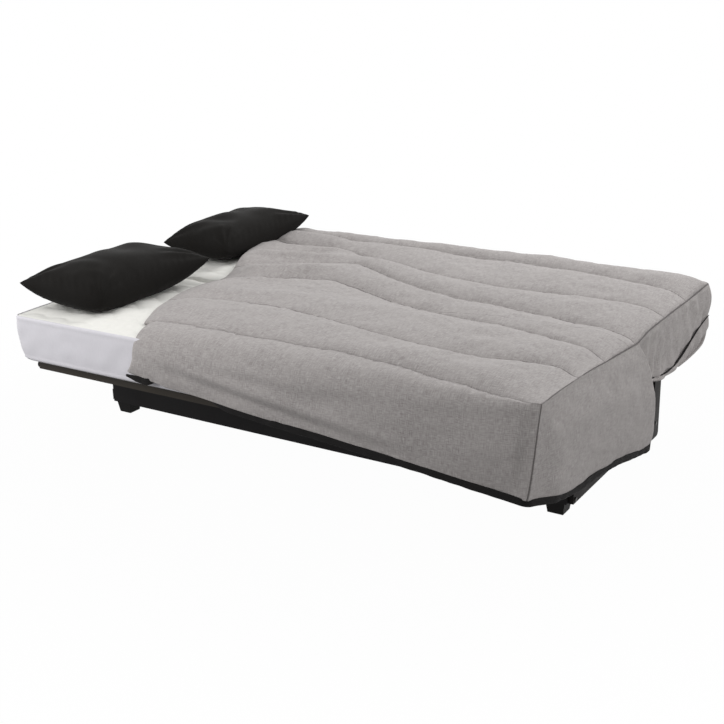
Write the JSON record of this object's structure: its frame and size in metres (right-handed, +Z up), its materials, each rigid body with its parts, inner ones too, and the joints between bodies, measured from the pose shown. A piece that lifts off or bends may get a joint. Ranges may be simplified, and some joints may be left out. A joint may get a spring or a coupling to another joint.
{
  "type": "click clack sofa bed",
  "caption": "Folding sofa bed opened flat: hinged seat and back halves on a linked carriage over a bedding box, with split mattress, quilted cover and pillows.",
  "frame": {"origin": "on the floor under the middle of the open bed, on the fold line", "axes": "+X towards the foot end, +Y towards the back half, +Z up"},
  "size_m": [1.935, 1.3896, 0.6355],
  "materials": {
    "cover_cloth": "woven, quilted",
    "hem_cloth": "woven",
    "mattress_ticking": "knitted, quilted",
    "pillow_cloth": "woven",
    "slat_wood": "lacquered beech",
    "black_plastic": "moulded",
    "box_board": "black laminated board",
    "foot_plastic": "moulded",
    "pad_rubber": "matt",
    "bright_steel": "zinc plated",
    "frame_steel": "satin dark brown paint"
  },
  "bodies": {
    "base": {"base_front_tube": "frame_steel", "base_rear_tube": "frame_steel", "storage_floor": "box_board", "storage_front_board": "box_board", "storage_rear_board": "box_board", "storage_end_board_left": "box_board", "storage_end_board_right": "box_board", "mechanism_plate_left": "frame_steel", "mechanism_plate_right": "frame_steel", "front_foot_left": "foot_plastic", "front_foot_right": "foot_plastic", "rear_leg_left": "frame_steel", "rear_leg_right": "frame_steel", "rest_pads": "pad_rubber", "base_bolts": "bright_steel", "link_lower_pins": "bright_steel"},
    "link_front_left": {"link_front_left": "frame_steel"},
    "link_front_right": {"link_front_right": "frame_steel"},
    "link_rear_left": {"link_rear_left": "frame_steel"},
    "link_rear_right": {"link_rear_right": "frame_steel"},
    "carriage": {"carriage_plate_left": "frame_steel", "carriage_plate_right": "frame_steel", "carriage_tube": "frame_steel", "link_upper_pins": "bright_steel", "hinge_pin_left": "bright_steel", "hinge_pin_right": "bright_steel", "pawl_pins": "bright_steel"},
    "pawl_left": {"pawl_left": "bright_steel"},
    "pawl_right": {"pawl_right": "bright_steel"},
    "seat": {"seat_arm_left": "frame_steel", "seat_arm_right": "frame_steel", "seat_cover_end_panel": "cover_cloth", "seat_cover_front_skirt": "cover_cloth", "seat_cover_hem": "hem_cloth", "seat_cover_top": "cover_cloth", "seat_end_tube_left": "frame_steel", "seat_end_tube_right": "frame_steel", "seat_front_rail": "frame_steel", "seat_inner_rail": "frame_steel", "seat_mattress": "mattress_ticking", "seat_rail_caps": "black_plastic", "seat_slat_holders": "black_plastic", "seat_slats": "slat_wood"},
    "back": {"back_arm_left": "frame_steel", "back_arm_right": "frame_steel", "back_cover_end_panel": "cover_cloth", "back_cover_piping": "hem_cloth", "back_cover_rear_panel": "cover_cloth", "back_cover_top": "cover_cloth", "back_end_tube_left": "frame_steel", "back_end_tube_right": "frame_steel", "back_inner_rail": "frame_steel", "back_mattress": "mattress_ticking", "back_rail_caps": "black_plastic", "back_rear_rail": "frame_steel", "back_slat_holders": "black_plastic", "back_slats": "slat_wood"},
    "pillow_front": {"pillow_front": "pillow_cloth"},
    "pillow_rear": {"pillow_rear": "pillow_cloth"}
  },
  "joints": [
    {"name": "link_front_left_swing", "type": "hinge", "parent": "base", "child": "link_front_left", "pos_m": [0, 0.03, 0.13], "axis": [-1, 0, 0], "range_deg": [0, 87]},
    {"name": "link_front_right_swing", "type": "hinge", "parent": "base", "child": "link_front_right", "pos_m": [0, 0.03, 0.13], "axis": [-1, 0, 0], "range_deg": [0, 87]},
    {"name": "link_rear_left_swing", "type": "hinge", "parent": "base", "child": "link_rear_left", "pos_m": [0, 0.19, 0.13], "axis": [-1, 0, 0], "range_deg": [0, 87]},
    {"name": "link_rear_right_swing", "type": "hinge", "parent": "base", "child": "link_rear_right", "pos_m": [0, 0.19, 0.13], "axis": [-1, 0, 0], "range_deg": [0, 87]},
    {"name": "carriage_swing", "type": "hinge", "parent": "link_front_left", "child": "carriage", "pos_m": [0, -0.08, 0.246], "axis": [1, 0, 0], "range_deg": [0, 87]},
    {"name": "back_raise", "type": "hinge", "parent": "carriage", "child": "back", "pos_m": [0, 0, 0.435], "axis": [1, 0, 0], "range_deg": [0, 70]},
    {"name": "seat_lift", "type": "hinge", "parent": "carriage", "child": "seat", "pos_m": [0, 0, 0.435], "axis": [-1, 0, 0], "range_deg": [0, 30]},
    {"name": "pawl_left_click", "type": "hinge", "parent": "carriage", "child": "pawl_left", "pos_m": [0, -0.06, 0.358], "axis": [1, 0, 0], "range_deg": [0, 10], "stiffness_Nm_per_rad": 0.5, "springref_deg": -11.46},
    {"name": "pawl_right_click", "type": "hinge", "parent": "carriage", "child": "pawl_right", "pos_m": [0, -0.06, 0.358], "axis": [1, 0, 0], "range_deg": [0, 10], "stiffness_Nm_per_rad": 0.5, "springref_deg": -11.46},
    {"name": "pillow_front_slide", "type": "slide", "parent": "seat", "child": "pillow_front", "axis": [-1, 0, 0], "range_m": [0, 0.4]},
    {"name": "pillow_rear_slide", "type": "slide", "parent": "back", "child": "pillow_rear", "axis": [-1, 0, 0], "range_m": [0, 0.4]}
  ],
  "couplings": [
    {"joint": "link_front_left_swing", "follows": "back_raise", "ratio": 1.2423},
    {"joint": "link_front_right_swing", "follows": "back_raise", "ratio": 1.2423},
    {"joint": "link_rear_left_swing", "follows": "back_raise", "ratio": 1.2423},
    {"joint": "link_rear_right_swing", "follows": "back_raise", "ratio": 1.2423},
    {"joint": "carriage_swing", "follows": "back_raise", "ratio": 1.2423}
  ]
}
